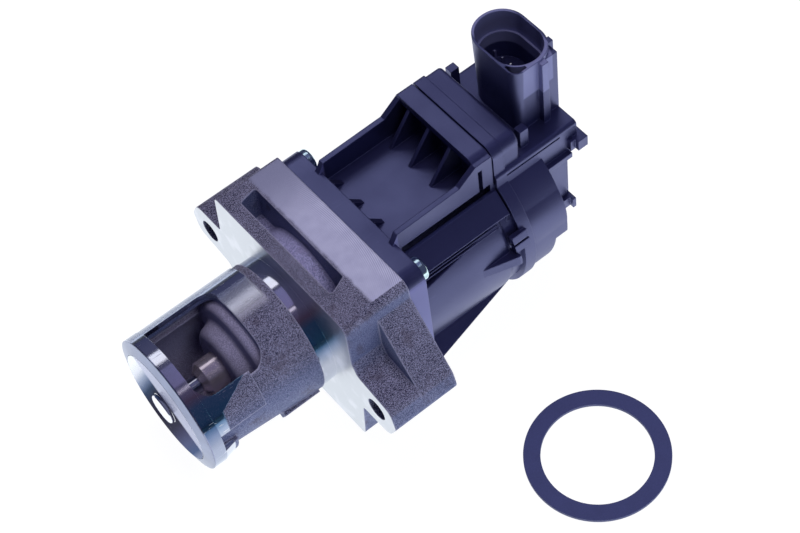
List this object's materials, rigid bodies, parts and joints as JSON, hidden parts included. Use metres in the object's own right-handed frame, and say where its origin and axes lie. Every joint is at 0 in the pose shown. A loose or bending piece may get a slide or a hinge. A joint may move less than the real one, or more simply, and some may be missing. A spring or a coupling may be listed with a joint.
{
  "type": "exhaust gas recirculation valve",
  "caption": "Electric exhaust gas recirculation valve: cast tube with a poppet in its mouth, two-bolt flange, and a plastic geared motor actuator with an upright connector.",
  "frame": {"origin": "centre of the mounting flange's machined face, on the valve's axis", "axes": "+X along the valve's axis from the tube's mouth to the gear cover, +Z the way the connector points, -Y towards the near bolt ear"},
  "size_m": [0.1617, 0.1689, 0.0941],
  "materials": {
    "cast_alloy": "sandblasted as cast, machined on the flange face",
    "machined_steel": "turned",
    "spring_steel": "drawn wire",
    "plated_steel": "zinc plated",
    "bronze": "sintered",
    "copper": "enamelled or bare copper",
    "pin_metal": "tin plated",
    "dark_plastic": "moulded glass-filled plastic, satin",
    "gear_plastic": "moulded natural plastic",
    "magnet": "sintered ferrite",
    "carbon": "graphite",
    "board": "solder mask",
    "seal_rubber": "moulded",
    "gasket_coated": "thin matt coating on steel"
  },
  "bodies": {
    "housing": {"valve_casting": "cast_alloy", "seat_ring": "machined_steel", "guide_bush": "bronze", "stem_seal": "seal_rubber", "seal_retainer": "machined_steel", "spring_seat": "machined_steel", "return_spring": "spring_steel", "guide_sleeve": "machined_steel", "thrust_washer": "machined_steel", "gear_axle": "machined_steel", "motor_can": "plated_steel", "motor_front_bush": "bronze", "motor_magnets": "magnet", "motor_end_cap": "dark_plastic", "motor_rear_bush": "bronze", "motor_brushes": "carbon", "motor_leads": "copper", "bearing_plate": "plated_steel", "plate_screws": "plated_steel", "housing_seal": "seal_rubber", "actuator_body": "dark_plastic", "body_screws": "plated_steel", "cover_seal": "seal_rubber", "gear_cover": "dark_plastic", "rear_lid": "dark_plastic", "connector_pins": "pin_metal", "sensor_board": "board", "position_sensor": "dark_plastic", "flange_gasket": "gasket_coated"},
    "valve": {"poppet_head": "machined_steel", "valve_stem": "machined_steel", "spring_cup": "machined_steel", "stem_collets": "machined_steel", "rod_coupler": "machined_steel", "drive_rod": "machined_steel", "cross_pin": "machined_steel"},
    "output": {"output_gear": "gear_plastic", "sensor_magnet": "magnet"},
    "intermediate": {"intermediate_gear": "gear_plastic"},
    "rotor": {"motor_shaft": "machined_steel", "motor_pinion": "bronze", "armature_core": "machined_steel", "armature_windings": "copper", "commutator": "copper"}
  },
  "joints": [
    {"name": "output_gear_turn", "type": "hinge", "parent": "housing", "child": "output", "pos_m": [0.08, 0, 0], "axis": [1, 0, 0], "range_deg": [0, 100]},
    {"name": "valve_slide", "type": "slide", "parent": "housing", "child": "valve", "axis": [-1, 0, 0], "range_m": [0, 0.008], "deforming": ["return_spring"]},
    {"name": "intermediate_turn", "type": "hinge", "parent": "housing", "child": "intermediate", "pos_m": [0.08, -0.01778, -0.00725], "axis": [1, 0, 0], "range_deg": [-300, 0]},
    {"name": "motor_turn", "type": "hinge", "parent": "housing", "child": "rotor", "pos_m": [0.077, -0.00875, -0.01516], "axis": [1, 0, 0], "range_deg": [0, 900]}
  ],
  "couplings": [
    {"joint": "valve_slide", "follows": "output_gear_turn", "m_per_rad": 0.0045837},
    {"joint": "intermediate_turn", "follows": "output_gear_turn", "ratio": -3},
    {"joint": "motor_turn", "follows": "output_gear_turn", "ratio": 9}
  ]
}
